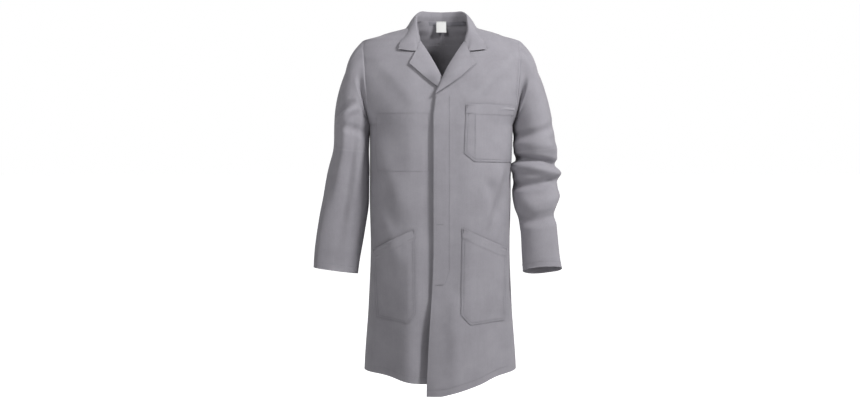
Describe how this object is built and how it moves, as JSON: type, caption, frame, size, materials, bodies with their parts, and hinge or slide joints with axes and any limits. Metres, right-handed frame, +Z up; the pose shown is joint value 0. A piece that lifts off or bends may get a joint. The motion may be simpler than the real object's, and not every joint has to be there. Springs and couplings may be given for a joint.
{
  "type": "lab coat",
  "caption": "Knee-length work-style lab coat in grey twill with notched lapels, concealed stud fly, breast pocket, slanted hip patch pockets and long plain sleeves.",
  "frame": {"origin": "base of the neck, midway between the shoulders, where a hanger or a wearer's shoulders carry the coat", "axes": "+Z up, the coat's front faces -Y, the wearer's left is +X"},
  "size_m": [0.7393, 0.3167, 1.1146],
  "materials": {
    "cotton_twill": "matt woven twill, mid grey",
    "inner_twill": "matt woven twill, inner side",
    "label_cloth": "smooth white woven tape",
    "thread": "twisted polyester sewing thread",
    "stud_metal": "nickel-plated brass press studs"
  },
  "bodies": {
    "coat": {"back_panel_left": "cotton_twill", "back_panel_right": "cotton_twill", "left_front_side": "cotton_twill", "right_front_side": "cotton_twill", "upper_collar": "cotton_twill", "under_collar": "inner_twill", "neck_tape": "inner_twill"},
    "left_front": {"left_front_panel": "cotton_twill", "left_front_facing": "inner_twill", "left_lapel": "cotton_twill", "fly_carrier": "inner_twill", "fly_stud_caps": "stud_metal", "fly_stud_sockets": "stud_metal", "chest_pocket": "cotton_twill", "left_lower_pocket": "cotton_twill", "left_front_bartacks": "thread"},
    "right_front": {"right_front_panel": "cotton_twill", "right_front_facing": "inner_twill", "right_lapel": "cotton_twill", "front_studs": "stud_metal", "front_stud_posts": "stud_metal", "right_lower_pocket": "cotton_twill", "inner_breast_pocket": "inner_twill", "right_front_bartacks": "thread"},
    "left_upper_arm": {"left_upper_sleeve": "cotton_twill"},
    "left_forearm": {"left_forearm_sleeve": "cotton_twill", "left_elbow_fold": "cotton_twill"},
    "right_upper_arm": {"right_upper_sleeve": "cotton_twill"},
    "right_forearm": {"right_forearm_sleeve": "cotton_twill", "right_elbow_fold": "cotton_twill"},
    "label": {"neck_label": "label_cloth"}
  },
  "joints": [
    {"name": "left_front_open", "type": "hinge", "parent": "coat", "child": "left_front", "pos_m": [0.112, -0.124, -0.05], "axis": [-0.1145, -0.0573, 0.9918], "range_deg": [0, 45], "deforming": ["chest_pocket", "left_lower_pocket", "left_front_bartacks"]},
    {"name": "right_front_open", "type": "hinge", "parent": "coat", "child": "right_front", "pos_m": [-0.112, -0.124, -0.05], "axis": [-0.1145, 0.0573, -0.9918], "range_deg": [0, 30], "deforming": ["right_lower_pocket", "inner_breast_pocket", "right_front_bartacks"]},
    {"name": "left_arm_raise", "type": "hinge", "parent": "coat", "child": "left_upper_arm", "pos_m": [0.234, 0.006, -0.038], "axis": [0, -1, 0], "range_deg": [0, 40]},
    {"name": "right_arm_raise", "type": "hinge", "parent": "coat", "child": "right_upper_arm", "pos_m": [-0.234, 0.006, -0.038], "axis": [0, 1, 0], "range_deg": [0, 40]},
    {"name": "left_elbow_bend", "type": "hinge", "parent": "left_upper_arm", "child": "left_forearm", "pos_m": [0.289, -0.008, -0.42], "axis": [-1, 0, 0], "range_deg": [0, 60], "deforming": ["left_elbow_fold"]},
    {"name": "right_elbow_bend", "type": "hinge", "parent": "right_upper_arm", "child": "right_forearm", "pos_m": [-0.282, -0.004, -0.42], "axis": [-1, 0, 0], "range_deg": [0, 60], "deforming": ["right_elbow_fold"]},
    {"name": "label_flip", "type": "hinge", "parent": "coat", "child": "label", "pos_m": [0, 0.054, 0.027], "axis": [-1, 0, 0], "range_deg": [0, 100]}
  ],
  "couplings": [
    {"joint": "right_front_open", "follows": "left_front_open", "ratio": 0.65}
  ]
}
